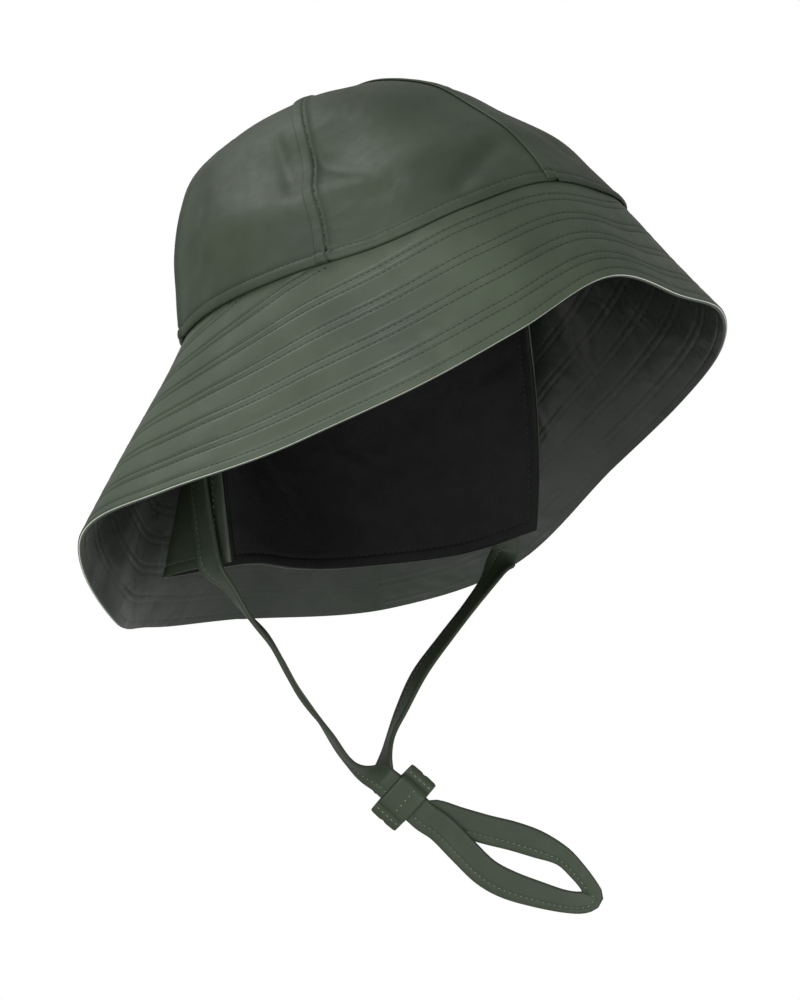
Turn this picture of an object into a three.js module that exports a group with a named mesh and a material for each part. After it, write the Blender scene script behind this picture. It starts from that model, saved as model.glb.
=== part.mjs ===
// A sou'wester: a six-gore crown, a wide steep brim that is longest at the back, a lined flap for the neck and
// ears, and a chin strap whose two arms meet in a sewn keeper and end in a folded tail loop.
// Millimetres, +Z up. The wearer faces -Y. The origin is the centre of the seam between crown and brim.
import * as THREE from 'three';

// Crown and its seam with the brim
const SEAM_HALF_WIDTH = 88;
const SEAM_HALF_DEPTH = 95;
const SEAM_WAVE = 5;
const CROWN_HEIGHT = 78;
const CROWN_WALL = 1.2;
const GORE_COUNT = 6;
const LAP_WIDTH = 5;
const RAMP_WIDTH = 2;
const DENT_DEPTH = 5;

// Brim: its width down the slope at the centre back, and the strip tucked up under the crown's hem
const BRIM_WIDTH = 128;
const BRIM_WALL = 2;
const BRIM_TUCK = 8;

// Neck and ear flap
const FLAP_DEPTH = 96;
const FLAP_FLARE = 20;
const FLAP_WALL = 1;
const FLAP_TUCK = 3;

// Chin strap and the keeper on it
const STRAP_WIDTH = 12.4;
const STRAP_WALL = 2;
const STRAP_DROP = 194.5;
const TAIL_LENGTH = 80.5;
const KEEPER_ACROSS = 26;
const KEEPER_ALONG = 13.5;
const KEEPER_WALL = 1;

// Clearance between pieces that lie on each other
const GAP = 0.3;

// The flat strap stands off a round wall by its sagitta, and the flap hangs inside the brim and the strap
const STRAP_SAGITTA = STRAP_WIDTH ** 2 / (8 * SEAM_HALF_WIDTH);
const FLAP_INSET = 3 * GAP + BRIM_WALL + STRAP_WALL + 4 * STRAP_SAGITTA;
const FLAP_START = 0.5;
const FLAP_CURVE = 1.15;

// Brim sections round the head. at: bearing in degrees, 0 at the front and 90 on the wearer's left.
// slant: share of BRIM_WIDTH. droop: degrees below level. lift: of the seam, share of SEAM_WAVE.
const BRIM_SECTIONS = [
  { at: -180, slant: 1.0, droop: 49.6, lift: 0.1 },
  { at: -157.5, slant: 0.932, droop: 53.8, lift: 0.25 },
  { at: -135, slant: 0.872, droop: 58, lift: 0.05 },
  { at: -112.5, slant: 0.7, droop: 46.8, lift: -0.18 },
  { at: -90, slant: 0.624, droop: 53.1, lift: -0.22 },
  { at: -67.5, slant: 0.527, droop: 67.2, lift: -0.48 },
  { at: -45, slant: 0.467, droop: 69.3, lift: -0.8 },
  { at: -22.5, slant: 0.42, droop: 70.5, lift: 0.2 },
  { at: 0, slant: 0.36, droop: 67, lift: 0.95 },
  { at: 22.5, slant: 0.386, droop: 69, lift: 0 },
  { at: 45, slant: 0.42, droop: 62.6, lift: -0.4 },
  { at: 67.5, slant: 0.507, droop: 60.5, lift: -0.3 },
  { at: 90, slant: 0.615, droop: 57, lift: -0.15 },
  { at: 112.5, slant: 0.765, droop: 56.3, lift: 0 },
  { at: 135, slant: 0.95, droop: 62, lift: -0.15 },
  { at: 157.5, slant: 0.996, droop: 60, lift: -0.05 },
];

// Crown levels from hem to top. rise: share of CROWN_HEIGHT. reach: share of the seam's half sizes.
// back: shift towards the back, share of SEAM_HALF_DEPTH. turn: degrees that the gore seams wander.
const CROWN_LEVELS = [
  { at: 0, rise: 0, reach: 1, back: 0, turn: 0 },
  { at: 1, rise: 0.208, reach: 0.946, back: 0.05, turn: 2.5 },
  { at: 2, rise: 0.425, reach: 0.887, back: 0.09, turn: 3 },
  { at: 3, rise: 0.642, reach: 0.76, back: 0.166, turn: 6.5 },
  { at: 4, rise: 0.817, reach: 0.61, back: 0.204, turn: 7.5 },
  { at: 5, rise: 0.955, reach: 0.347, back: 0.18, turn: 3 },
  { at: 6, rise: 1, reach: 0.016, back: 0.1, turn: 0 },
];

// Soft dents in the crown. bearing and spread in degrees, level and tall in levels of the table above.
// deep: share of DENT_DEPTH, positive inwards.
const CROWN_DENTS = [
  { bearing: -50, spread: 13, level: 2.6, tall: 0.5, deep: 1 },
  { bearing: -33, spread: 16, level: 2.2, tall: 0.45, deep: 0.45 },
  { bearing: -72, spread: 12, level: 3.0, tall: 0.8, deep: 0.55 },
  { bearing: -8, spread: 12, level: 2.4, tall: 0.7, deep: 0.55 },
  { bearing: -118, spread: 14, level: 2.0, tall: 0.9, deep: 0.35 },
  { bearing: 35, spread: 18, level: 2.5, tall: 0.7, deep: 0.5 },
  { bearing: 100, spread: 20, level: 2.8, tall: 0.7, deep: 0.6 },
  { bearing: 168, spread: 16, level: 2.2, tall: 0.6, deep: 0.4 },
];

// Flap sections from the left ear round the back to the right ear. at: share of the way round.
// top and foot: bearings of the sewn edge and of the hem. depth: share of FLAP_DEPTH. flare: of FLAP_FLARE.
const FLAP_SECTIONS = [
  { at: 0, top: 103, foot: 127.5, depth: 1.04, flare: 1.85 },
  { at: 0.2, top: 134, foot: 145.5, depth: 1.053, flare: 1.08 },
  { at: 0.4, top: 162.6, foot: 168.8, depth: 1.0, flare: 1.0 },
  { at: 0.6, top: 190.4, foot: 192.1, depth: 0.96, flare: 0.65 },
  { at: 0.75, top: 211.3, foot: 208, depth: 0.91, flare: 0.85 },
  { at: 0.86, top: 225.5, foot: 221.6, depth: 0.885, flare: 2.1 },
  { at: 0.94, top: 235, foot: 232, depth: 0.905, flare: 1.35 },
  { at: 1, top: 242, foot: 240.3, depth: 0.93, flare: 0.65 },
];

// Where each arm of the strap lies on the flap at the seam and at the hem, as shares of the way round it
const RIGHT_ARM_ON_FLAP = { seam: 0.92, hem: 0.977 };
const LEFT_ARM_ON_FLAP = { seam: 0.07, hem: 0.074 };
const ARM_START = 0.02;

// The strap's free arms. across, back and down: shares of SEAM_HALF_WIDTH, SEAM_HALF_DEPTH and STRAP_DROP.
// turn: degrees of the band's width about its run, from the front of the tail's plane.
const RIGHT_ARM = [
  { across: -0.935, back: 0.594, down: 0.506, turn: -24 },
  { across: -0.861, back: 0.613, down: 0.570, turn: -9 },
  { across: -0.760, back: 0.651, down: 0.625, turn: -3 },
  { across: -0.659, back: 0.730, down: 0.684, turn: -3 },
  { across: -0.560, back: 0.809, down: 0.740, turn: -3 },
  { across: -0.403, back: 0.906, down: 0.816, turn: -11 },
  { across: -0.249, back: 1.006, down: 0.895, turn: -17 },
];
const LEFT_ARM = [
  { across: 0.943, back: 0.918, down: 0.543, turn: -72 },
  { across: 0.806, back: 0.881, down: 0.583, turn: -148 },
  { across: 0.655, back: 0.913, down: 0.633, turn: -163 },
  { across: 0.471, back: 0.957, down: 0.692, turn: -163 },
  { across: 0.299, back: 1.007, down: 0.752, turn: -159 },
  { across: 0.165, back: 1.044, down: 0.817, turn: -164 },
  { across: 0.058, back: 1.073, down: 0.877, turn: -172 },
];

// The tail loop in its own plane, from the keeper out and back. out and aside: shares of TAIL_LENGTH.
// turn: of the band's width, in degrees. wide: share of the strap's width. layer: 1 in front, -1 behind.
const TAIL_LOOP = [
  { out: 0.194, aside: 0.157, turn: 56, wide: 1, layer: 1 },
  { out: 0.31, aside: 0.276, turn: 50, wide: 1, layer: 1 },
  { out: 0.421, aside: 0.384, turn: 66, wide: 1, layer: 1 },
  { out: 0.537, aside: 0.449, turn: 80, wide: 1, layer: 1 },
  { out: 0.698, aside: 0.503, turn: 83, wide: 0.9, layer: 1 },
  { out: 0.834, aside: 0.538, turn: 88, wide: 0.78, layer: 1 },
  { out: 0.93, aside: 0.544, turn: 108, wide: 0.76, layer: 0.6 },
  { out: 0.974, aside: 0.518, turn: 134, wide: 0.76, layer: 0.2 },
  { out: 0.96, aside: 0.468, turn: 172, wide: 0.6, layer: -0.4 },
  { out: 0.899, aside: 0.388, turn: 220, wide: 0.62, layer: -0.8 },
  { out: 0.817, aside: 0.307, turn: 244, wide: 0.7, layer: -1 },
  { out: 0.692, aside: 0.247, turn: 252, wide: 0.94, layer: -1 },
  { out: 0.562, aside: 0.203, turn: 255, wide: 1, layer: -1 },
  { out: 0.429, aside: 0.17, turn: 256, wide: 1, layer: -1 },
  { out: 0.281, aside: 0.127, turn: 250, wide: 1, layer: -1 },
  { out: 0.165, aside: 0.09, turn: 242, wide: 1, layer: -1 },
];

// The keeper's place below the seam, and the plane that it and the tail lie in
const KEEPER_AT = { across: 0.01, back: 1.026, down: 1 };
const TAIL_AZIMUTH = -39.7;
const TAIL_ELEVATION = -11;
const TAIL_ROLL = -16.8;
const KEEPER_TURN = 42;

const BRIM_COLUMNS = 64;
const BRIM_ROWS = [0.17, 0.34, 0.5, 0.67, 0.84, 1];
const GORE_COLUMNS = 8;
const CROWN_ROWS = [0, 0.5, 1, 1.5, 2, 2.5, 3, 3.5, 4, 4.4, 4.8, 5.2, 5.6, 6];
const FLAP_COLUMNS = 26;
const FLAP_ROWS = [0, 0.12, 0.25, 0.4, 0.55, 0.7, 0.85, 1];
const STRAP_STEP = 5;

const radians = THREE.MathUtils.degToRad;
const UP = new THREE.Vector3(0, 0, 1);

// Value of one column of a table at x, on a smooth curve through its rows
function along(rows, key, x, period = 0) {
  const count = rows.length;
  const row = (i) => {
    if (!period) {
      return rows[Math.min(Math.max(i, 0), count - 1)];
    }
    const turns = Math.floor(i / count);
    const found = rows[i - turns * count];
    return { ...found, at: found.at + turns * period };
  };
  let place = x;
  if (period) {
    place -= Math.floor((x - rows[0].at) / period) * period;
  }
  let i = 0;
  while (i < count - (period ? 1 : 2) && row(i + 1).at <= place) {
    i += 1;
  }
  const [a, b, c, d] = [row(i - 1), row(i), row(i + 1), row(i + 2)];
  const span = c.at - b.at;
  const share = (place - b.at) / span;
  const slopeB = a.at < b.at ? ((c[key] - a[key]) / (c.at - a.at)) * span : c[key] - b[key];
  const slopeC = d.at > c.at ? ((d[key] - b[key]) / (d.at - b.at)) * span : c[key] - b[key];
  const s2 = share * share;
  const s3 = s2 * share;
  return (
    (2 * s3 - 3 * s2 + 1) * b[key] +
    (s3 - 2 * s2 + share) * slopeB +
    (3 * s2 - 2 * s3) * c[key] +
    (s3 - s2) * slopeC
  );
}

// Level outward direction of the seam's ellipse at a bearing
function outward(bearing) {
  const t = radians(bearing);
  return new THREE.Vector3(SEAM_HALF_DEPTH * Math.sin(t), -SEAM_HALF_WIDTH * Math.cos(t), 0).normalize();
}

function seamPoint(bearing) {
  const t = radians(bearing);
  const lift = SEAM_WAVE * along(BRIM_SECTIONS, 'lift', bearing, 360);
  return new THREE.Vector3(SEAM_HALF_WIDTH * Math.sin(t), -SEAM_HALF_DEPTH * Math.cos(t), lift);
}

function dentAt(bearing, level) {
  let depth = 0;
  for (const dent of CROWN_DENTS) {
    const turned = ((((bearing - dent.bearing) % 360) + 540) % 360) - 180;
    const a = turned / dent.spread;
    const b = (level - dent.level) / dent.tall;
    depth += DENT_DEPTH * dent.deep * Math.exp(-(a * a + b * b) / 2);
  }
  return depth;
}

// Point of the crown's inner face, before its dents, at a bearing and a level of the crown's table
function crownBase(bearing, level) {
  const rise = along(CROWN_LEVELS, 'rise', level);
  const reach = along(CROWN_LEVELS, 'reach', level);
  const back = along(CROWN_LEVELS, 'back', level);
  const seam = seamPoint(bearing);
  return new THREE.Vector3(
    seam.x * reach,
    seam.y * reach + back * SEAM_HALF_DEPTH,
    seam.z * (1 - rise) + CROWN_HEIGHT * rise,
  );
}

// Point at a distance outside the crown's inner face
function crownPoint(bearing, level, out) {
  const step = 0.05;
  const low = Math.max(0, level - step);
  const high = Math.min(CROWN_LEVELS.length - 1, level + step);
  const round = crownBase(bearing + 1, level).sub(crownBase(bearing - 1, level));
  const up = crownBase(bearing, high).sub(crownBase(bearing, low));
  const normal = round.cross(up).normalize();
  return crownBase(bearing, level).addScaledVector(normal, out - dentAt(bearing, level));
}

// Closed body between an outer and an inner grid of points. Rows run one way and columns the other.
// A ring's last column joins its first.
function shell(outer, inner, ring = false) {
  const rows = outer.length;
  const columns = outer[0].length;
  const positions = [];
  for (const grid of [outer, inner]) {
    for (const line of grid) {
      for (const point of line) {
        positions.push(point.x, point.y, point.z);
      }
    }
  }
  const index = [];
  const at = (side, i, j) => side * rows * columns + i * columns + (j % columns);
  const quad = (a, b, c, d) => index.push(a, b, c, a, c, d);
  const spans = ring ? columns : columns - 1;
  for (let i = 0; i < rows - 1; i += 1) {
    for (let j = 0; j < spans; j += 1) {
      quad(at(0, i, j), at(0, i, j + 1), at(0, i + 1, j + 1), at(0, i + 1, j));
      quad(at(1, i, j), at(1, i + 1, j), at(1, i + 1, j + 1), at(1, i, j + 1));
    }
    if (!ring) {
      quad(at(0, i, 0), at(0, i + 1, 0), at(1, i + 1, 0), at(1, i, 0));
      quad(at(0, i, spans), at(1, i, spans), at(1, i + 1, spans), at(0, i + 1, spans));
    }
  }
  for (let j = 0; j < spans; j += 1) {
    quad(at(0, 0, j), at(1, 0, j), at(1, 0, j + 1), at(0, 0, j + 1));
    quad(at(0, rows - 1, j), at(0, rows - 1, j + 1), at(1, rows - 1, j + 1), at(1, rows - 1, j));
  }
  return facingOut(positions, index);
}

// Geometry from points and triangles, turned so that its faces point out
function facingOut(positions, index) {
  const point = (i) => new THREE.Vector3().fromArray(positions, 3 * i);
  let volume = 0;
  for (let i = 0; i < index.length; i += 3) {
    volume += point(index[i]).dot(point(index[i + 1]).cross(point(index[i + 2])));
  }
  if (volume < 0) {
    for (let i = 0; i < index.length; i += 3) {
      [index[i + 1], index[i + 2]] = [index[i + 2], index[i + 1]];
    }
  }
  const geometry = new THREE.BufferGeometry();
  geometry.setAttribute('position', new THREE.Float32BufferAttribute(positions, 3));
  geometry.setIndex(index);
  geometry.computeVertexNormals();
  return geometry;
}

const clothColours = { roughness: 0.42, metalness: 0 };
const green = new THREE.MeshStandardMaterial({ color: 0x4a5546, ...clothColours });
const brimGreen = new THREE.MeshStandardMaterial({ color: 0x4f5a4b, ...clothColours });
const black = new THREE.MeshStandardMaterial({ color: 0x161716, roughness: 0.7, metalness: 0 });
const strapGreen = new THREE.MeshStandardMaterial({ color: 0x3e483a, ...clothColours });

const hat = new THREE.Group();

function add(name, geometry, material) {
  const mesh = new THREE.Mesh(geometry, material);
  mesh.name = name;
  hat.add(mesh);
}

// One gore between two seams. Its near edge is lapped over the gore before it and stitched down flat.
function goreGeometry(number) {
  const span = 360 / GORE_COUNT;
  const start = number * span;
  const end = start + span;
  const grids = [0, CROWN_WALL].map((face) =>
    CROWN_ROWS.map((level) => {
      const turn = along(CROWN_LEVELS, 'turn', level);
      const reach = along(CROWN_LEVELS, 'reach', level);
      const radius = reach * (SEAM_HALF_WIDTH + SEAM_HALF_DEPTH) / 2;
      const taper = Math.min(1, 0.12 + 2 * reach);
      const degrees = (length) => THREE.MathUtils.radToDeg(length / radius);
      const lap = degrees(LAP_WIDTH * taper);
      const ramp = degrees(RAMP_WIDTH * taper);
      const far = end + lap - degrees(GAP);
      const columns = [
        { bearing: start, raise: CROWN_WALL + GAP },
        { bearing: start + lap, raise: CROWN_WALL + GAP },
      ];
      for (let j = 0; j <= GORE_COLUMNS; j += 1) {
        const share = j / GORE_COLUMNS;
        columns.push({ bearing: start + lap + ramp + (span - lap - ramp) * share, raise: 0 });
      }
      columns.push({ bearing: far, raise: 0 });
      return columns.map(({ bearing, raise }) => crownPoint(bearing + turn, level, face + raise));
    }),
  );
  return shell(grids[1], grids[0]);
}

for (let number = 0; number < GORE_COUNT; number += 1) {
  add(`crown_gore_${number + 1}`, goreGeometry(number), green);
}

// The brim: a strip tucked up inside the crown's hem, a bend at the seam, and the sloping brim
function brimSection(bearing) {
  const slant = BRIM_WIDTH * along(BRIM_SECTIONS, 'slant', bearing, 360);
  const droop = radians(along(BRIM_SECTIONS, 'droop', bearing, 360));
  const out = outward(bearing);
  const down = out.clone().multiplyScalar(Math.cos(droop)).addScaledVector(UP, -Math.sin(droop));
  const above = out.clone().multiplyScalar(Math.sin(droop)).addScaledVector(UP, Math.cos(droop));
  const tuckLevel = BRIM_TUCK / (CROWN_HEIGHT * CROWN_LEVELS[1].rise);
  const bend = seamPoint(bearing).addScaledVector(out, -GAP).addScaledVector(UP, -GAP);
  const corner = out.clone().add(above).multiplyScalar(-BRIM_WALL / (1 + Math.sin(droop)));
  const upper = [crownPoint(bearing, tuckLevel, -GAP), bend.clone()];
  const under = [crownPoint(bearing, tuckLevel, -GAP - BRIM_WALL), bend.clone().add(corner)];
  for (const share of BRIM_ROWS) {
    const point = bend.clone().addScaledVector(down, slant * share);
    upper.push(point);
    under.push(point.clone().addScaledVector(above, -BRIM_WALL));
  }
  return { upper, under };
}

const brimBearings = Array.from({ length: BRIM_COLUMNS }, (_, column) => (360 * column) / BRIM_COLUMNS);
const brimSections = brimBearings.map(brimSection);
const brimGrid = (face) => brimSections[0][face].map((_, row) => brimSections.map((s) => s[face][row]));
add('brim', shell(brimGrid('upper'), brimGrid('under'), true), brimGreen);

// The flap hangs inside the brim. Its top hugs the brim's tucked strip, and below that it leaves room for
// the strap. across: 0 to 1 from the left ear to the right. drop: 0 to 1 from the seam to the hem.
function flapPoint(across, drop, out) {
  const top = along(FLAP_SECTIONS, 'top', across);
  const foot = along(FLAP_SECTIONS, 'foot', across);
  const bearing = top + (foot - top) * drop;
  const depth = FLAP_DEPTH * along(FLAP_SECTIONS, 'depth', across);
  const flare = FLAP_FLARE * along(FLAP_SECTIONS, 'flare', across);
  const point = seamPoint(bearing);
  point.addScaledVector(outward(bearing), out - FLAP_INSET + flare * drop ** FLAP_CURVE);
  return point.addScaledVector(UP, -FLAP_START - (depth - FLAP_START) * drop);
}

function flapGeometry(near, far) {
  const columns = Array.from({ length: FLAP_COLUMNS + 1 }, (_, j) => j / FLAP_COLUMNS);
  const tuckLevel = FLAP_TUCK / (CROWN_HEIGHT * CROWN_LEVELS[1].rise);
  const grids = [near, far].map((inset) => [
    columns.map((across) =>
      crownPoint(along(FLAP_SECTIONS, 'top', across), tuckLevel, -2 * GAP - BRIM_WALL - inset)),
    ...FLAP_ROWS.map((drop) => columns.map((across) => flapPoint(across, drop, -inset))),
  ]);
  return shell(grids[0], grids[1]);
}

add('flap_shell', flapGeometry(0, FLAP_WALL), green);
add('flap_lining', flapGeometry(FLAP_WALL + GAP, 2 * FLAP_WALL + GAP), black);

// Axes of the plane that the keeper and the tail lie in: right and down in it, and towards its front
function tailAxes() {
  const azimuth = radians(TAIL_AZIMUTH);
  const elevation = radians(TAIL_ELEVATION);
  const roll = radians(TAIL_ROLL);
  const front = new THREE.Vector3(
    Math.sin(azimuth) * Math.cos(elevation),
    -Math.cos(azimuth) * Math.cos(elevation),
    Math.sin(elevation),
  );
  const level = new THREE.Vector3(Math.cos(azimuth), Math.sin(azimuth), 0);
  const rise = front.clone().cross(level);
  const right = level.clone().multiplyScalar(Math.cos(roll)).addScaledVector(rise, Math.sin(roll));
  const down = level.clone().multiplyScalar(Math.sin(roll)).addScaledVector(rise, -Math.cos(roll));
  return { right, down, front };
}

const tail = tailAxes();
const keeperCentre = new THREE.Vector3(
  KEEPER_AT.across * SEAM_HALF_WIDTH,
  KEEPER_AT.back * SEAM_HALF_DEPTH,
  -KEEPER_AT.down * STRAP_DROP,
);
const keeperTurn = radians(KEEPER_TURN);
const inTail = (out, aside) =>
  tail.right.clone().multiplyScalar(out).addScaledVector(tail.down, aside);
const keeperRun = inTail(Math.cos(keeperTurn), Math.sin(keeperTurn));
const keeperEdge = inTail(Math.sin(keeperTurn), -Math.cos(keeperTurn));
const LAYER = STRAP_WALL / 2 + GAP;

// Stations of the strap from the right ear to the left, each with its middle and its edge direction
function strapStations() {
  const onFlap = (arm, drop) => {
    const across = arm.seam + (arm.hem - arm.seam) * drop;
    const step = 0.02;
    const round = flapPoint(across + step, drop, 0).sub(flapPoint(across - step, drop, 0)).normalize();
    const fall = flapPoint(across, drop + step, 0).sub(flapPoint(across, drop - step, 0));
    const normal = fall.cross(round).normalize();
    const standOff = GAP + 2 * STRAP_SAGITTA + STRAP_WALL / 2;
    return { point: flapPoint(across, drop, 0).addScaledVector(normal, standOff), edge: round, wide: 1 };
  };
  const free = (row) => ({
    point: new THREE.Vector3(
      row.across * SEAM_HALF_WIDTH,
      row.back * SEAM_HALF_DEPTH,
      -row.down * STRAP_DROP,
    ),
    turn: radians(row.turn),
    wide: 1,
  });
  const inKeeper = (share, layer) => ({
    point: keeperCentre.clone().addScaledVector(keeperRun, share * KEEPER_ALONG)
      .addScaledVector(tail.front, layer * LAYER),
    edge: keeperEdge.clone().multiplyScalar(layer),
    wide: 1,
  });
  const inLoop = (row) => ({
    point: keeperCentre.clone().add(inTail(row.out, row.aside).multiplyScalar(TAIL_LENGTH))
      .addScaledVector(tail.front, row.layer * LAYER),
    edge: inTail(Math.cos(radians(row.turn)), -Math.sin(radians(row.turn))),
    wide: row.wide,
  });
  const keeperShares = [-0.9, -0.6, 0, 0.6, 0.9];
  const armDrops = [ARM_START, ...FLAP_ROWS.slice(1)];
  const stations = [
    ...armDrops.map((drop) => onFlap(RIGHT_ARM_ON_FLAP, drop)),
    ...RIGHT_ARM.map(free),
    ...keeperShares.map((share) => inKeeper(share, 1)),
    ...TAIL_LOOP.map(inLoop),
    ...keeperShares.slice().reverse().map((share) => inKeeper(share, -1)),
    ...LEFT_ARM.slice().reverse().map(free),
    ...armDrops.slice().reverse().map((drop) => onFlap(LEFT_ARM_ON_FLAP, drop)),
  ];
  return stations.map((station, i) => {
    if (station.edge) {
      return station;
    }
    const run = stations[i + 1].point.clone().sub(stations[i - 1].point).normalize();
    const front = tail.front.clone().addScaledVector(run, -tail.front.dot(run)).normalize();
    const edge = front.clone().multiplyScalar(Math.cos(station.turn))
      .addScaledVector(run.cross(front), Math.sin(station.turn));
    return { ...station, edge };
  });
}

// A flat band through stations: its middle and its edges follow smooth curves
function bandGeometry(stations) {
  const curve = new THREE.CatmullRomCurve3(stations.map((s) => s.point), false, 'centripetal');
  const count = stations.length - 1;
  const samples = [];
  for (let i = 0; i < count; i += 1) {
    const span = stations[i].point.distanceTo(stations[i + 1].point);
    const steps = Math.max(1, Math.round(span / STRAP_STEP));
    for (let k = 0; k < steps; k += 1) {
      samples.push((i + k / steps) / count);
    }
  }
  samples.push(1);
  const rows = stations.map((s, at) => ({ at, x: s.edge.x, y: s.edge.y, z: s.edge.z, wide: s.wide }));
  const rings = samples.map((u) => {
    const middle = curve.getPoint(u);
    const tangent = curve.getTangent(u);
    const at = u * count;
    const edge = new THREE.Vector3(along(rows, 'x', at), along(rows, 'y', at), along(rows, 'z', at));
    edge.addScaledVector(tangent, -edge.dot(tangent)).normalize();
    const face = edge.clone().cross(tangent).normalize().multiplyScalar(STRAP_WALL / 2);
    edge.multiplyScalar((STRAP_WIDTH / 2) * along(rows, 'wide', at));
    return [[1, 1], [-1, 1], [-1, -1], [1, -1]].map(([a, b]) =>
      middle.clone().addScaledVector(edge, a).addScaledVector(face, b));
  });
  const positions = rings.flat().flatMap((p) => p.toArray());
  const index = [0, 2, 1, 0, 3, 2];
  for (let i = 0; i < rings.length - 1; i += 1) {
    for (let k = 0; k < 4; k += 1) {
      const a = 4 * i + k;
      const b = 4 * i + ((k + 1) % 4);
      index.push(a, b, b + 4, a, b + 4, a + 4);
    }
  }
  const last = 4 * (rings.length - 1);
  index.push(last, last + 1, last + 2, last, last + 2, last + 3);
  return facingOut(positions, index);
}

add('chin_strap', bandGeometry(strapStations()), strapGreen);

// The keeper: a sleeve round both runs of the strap, pinched flat at its two sewn ends
function keeperGeometry() {
  const holeHalf = STRAP_WIDTH / 2 + GAP;
  const holeRise = STRAP_WALL + 2 * GAP;
  const corners = [
    [KEEPER_ACROSS / 2, KEEPER_WALL],
    [holeHalf + 2 * KEEPER_WALL, KEEPER_WALL],
    [holeHalf + KEEPER_WALL / 2, holeRise + KEEPER_WALL],
  ];
  const upper = [...corners, ...corners.slice().reverse().map(([x, y]) => [-x, y])];
  const outline = [...upper, ...upper.slice().reverse().map(([x, y]) => [x, -y])];
  const shape = new THREE.Shape(outline.map(([x, y]) => new THREE.Vector2(x, y)));
  const rim = [[holeHalf, holeRise], [-holeHalf, holeRise], [-holeHalf, -holeRise], [holeHalf, -holeRise]];
  shape.holes.push(new THREE.Path(rim.map(([x, y]) => new THREE.Vector2(x, y))));
  const geometry = new THREE.ExtrudeGeometry(shape, { depth: KEEPER_ALONG, bevelEnabled: false });
  geometry.translate(0, 0, -KEEPER_ALONG / 2);
  return geometry;
}

const keeper = new THREE.Mesh(keeperGeometry(), strapGreen);
keeper.name = 'keeper';
const keeperFront = keeperRun.clone().cross(keeperEdge);
keeper.applyMatrix4(new THREE.Matrix4().makeBasis(keeperEdge, keeperFront, keeperRun));
keeper.position.copy(keeperCentre);
hat.add(keeper);

export default hat;
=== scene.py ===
import bpy
import numpy as np
from mathutils import Matrix, Vector


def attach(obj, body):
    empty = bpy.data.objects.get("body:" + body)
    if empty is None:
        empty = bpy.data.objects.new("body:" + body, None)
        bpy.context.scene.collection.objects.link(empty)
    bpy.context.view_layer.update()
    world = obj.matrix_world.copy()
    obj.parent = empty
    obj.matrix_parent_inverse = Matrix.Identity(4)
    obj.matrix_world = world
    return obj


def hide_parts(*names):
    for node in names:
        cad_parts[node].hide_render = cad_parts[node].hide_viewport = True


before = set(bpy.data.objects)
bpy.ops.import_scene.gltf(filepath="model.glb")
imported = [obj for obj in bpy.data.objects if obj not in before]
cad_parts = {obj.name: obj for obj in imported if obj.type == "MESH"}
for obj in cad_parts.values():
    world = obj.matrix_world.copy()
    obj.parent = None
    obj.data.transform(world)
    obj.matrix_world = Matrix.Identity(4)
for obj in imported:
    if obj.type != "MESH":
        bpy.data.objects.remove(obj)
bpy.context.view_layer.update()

# Crown and its seam with the brim, in millimetres
SEAM_HALF_WIDTH = 88
SEAM_HALF_DEPTH = 95
SEAM_WAVE = 5
CROWN_HEIGHT = 78
CROWN_WALL = 1.2
GORE_COUNT = 6
LAP_WIDTH = 5
RAMP_WIDTH = 2
DENT_DEPTH = 5

# Brim: its width down the slope at the centre back, and the strip tucked up under the crown's hem
BRIM_WIDTH = 128
BRIM_WALL = 2
BRIM_TUCK = 8
ROW_PITCH = 12.2
TWIN_HALF = 1.6
EDGE_STITCH = 4.4

# Neck and ear flap
FLAP_DEPTH = 96
FLAP_FLARE = 20
FLAP_WALL = 1
FLAP_TUCK = 3

# Chin strap and the keeper on it
STRAP_WIDTH = 12.4
STRAP_WALL = 2
STRAP_DROP = 194.5
TAIL_LENGTH = 80.5
KEEPER_ACROSS = 26
KEEPER_ALONG = 13.5

# Clearance between neighbouring pieces, and what follows from the sizes above
GAP = 0.3
STRAP_SAGITTA = STRAP_WIDTH**2 / (8 * SEAM_HALF_WIDTH)
FLAP_INSET = 3 * GAP + BRIM_WALL + STRAP_WALL + 4 * STRAP_SAGITTA
FLAP_START = 0.5
FLAP_CURVE = 1.15

# Brim sections round the head: bearing in degrees (0 front, 90 wearer's left), slant as a share of
# BRIM_WIDTH, droop in degrees below level, lift of the seam as a share of SEAM_WAVE
BRIM_SECTIONS = [
    dict(at=-180, slant=1.0, droop=49.6, lift=0.1),
    dict(at=-157.5, slant=0.932, droop=53.8, lift=0.25),
    dict(at=-135, slant=0.872, droop=58, lift=0.05),
    dict(at=-112.5, slant=0.7, droop=46.8, lift=-0.18),
    dict(at=-90, slant=0.624, droop=53.1, lift=-0.22),
    dict(at=-67.5, slant=0.527, droop=67.2, lift=-0.48),
    dict(at=-45, slant=0.467, droop=69.3, lift=-0.8),
    dict(at=-22.5, slant=0.42, droop=70.5, lift=0.2),
    dict(at=0, slant=0.36, droop=67, lift=0.95),
    dict(at=22.5, slant=0.386, droop=69, lift=0),
    dict(at=45, slant=0.42, droop=62.6, lift=-0.4),
    dict(at=67.5, slant=0.507, droop=60.5, lift=-0.3),
    dict(at=90, slant=0.615, droop=57, lift=-0.15),
    dict(at=112.5, slant=0.765, droop=56.3, lift=0),
    dict(at=135, slant=0.95, droop=62, lift=-0.15),
    dict(at=157.5, slant=0.996, droop=60, lift=-0.05),
]

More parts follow.
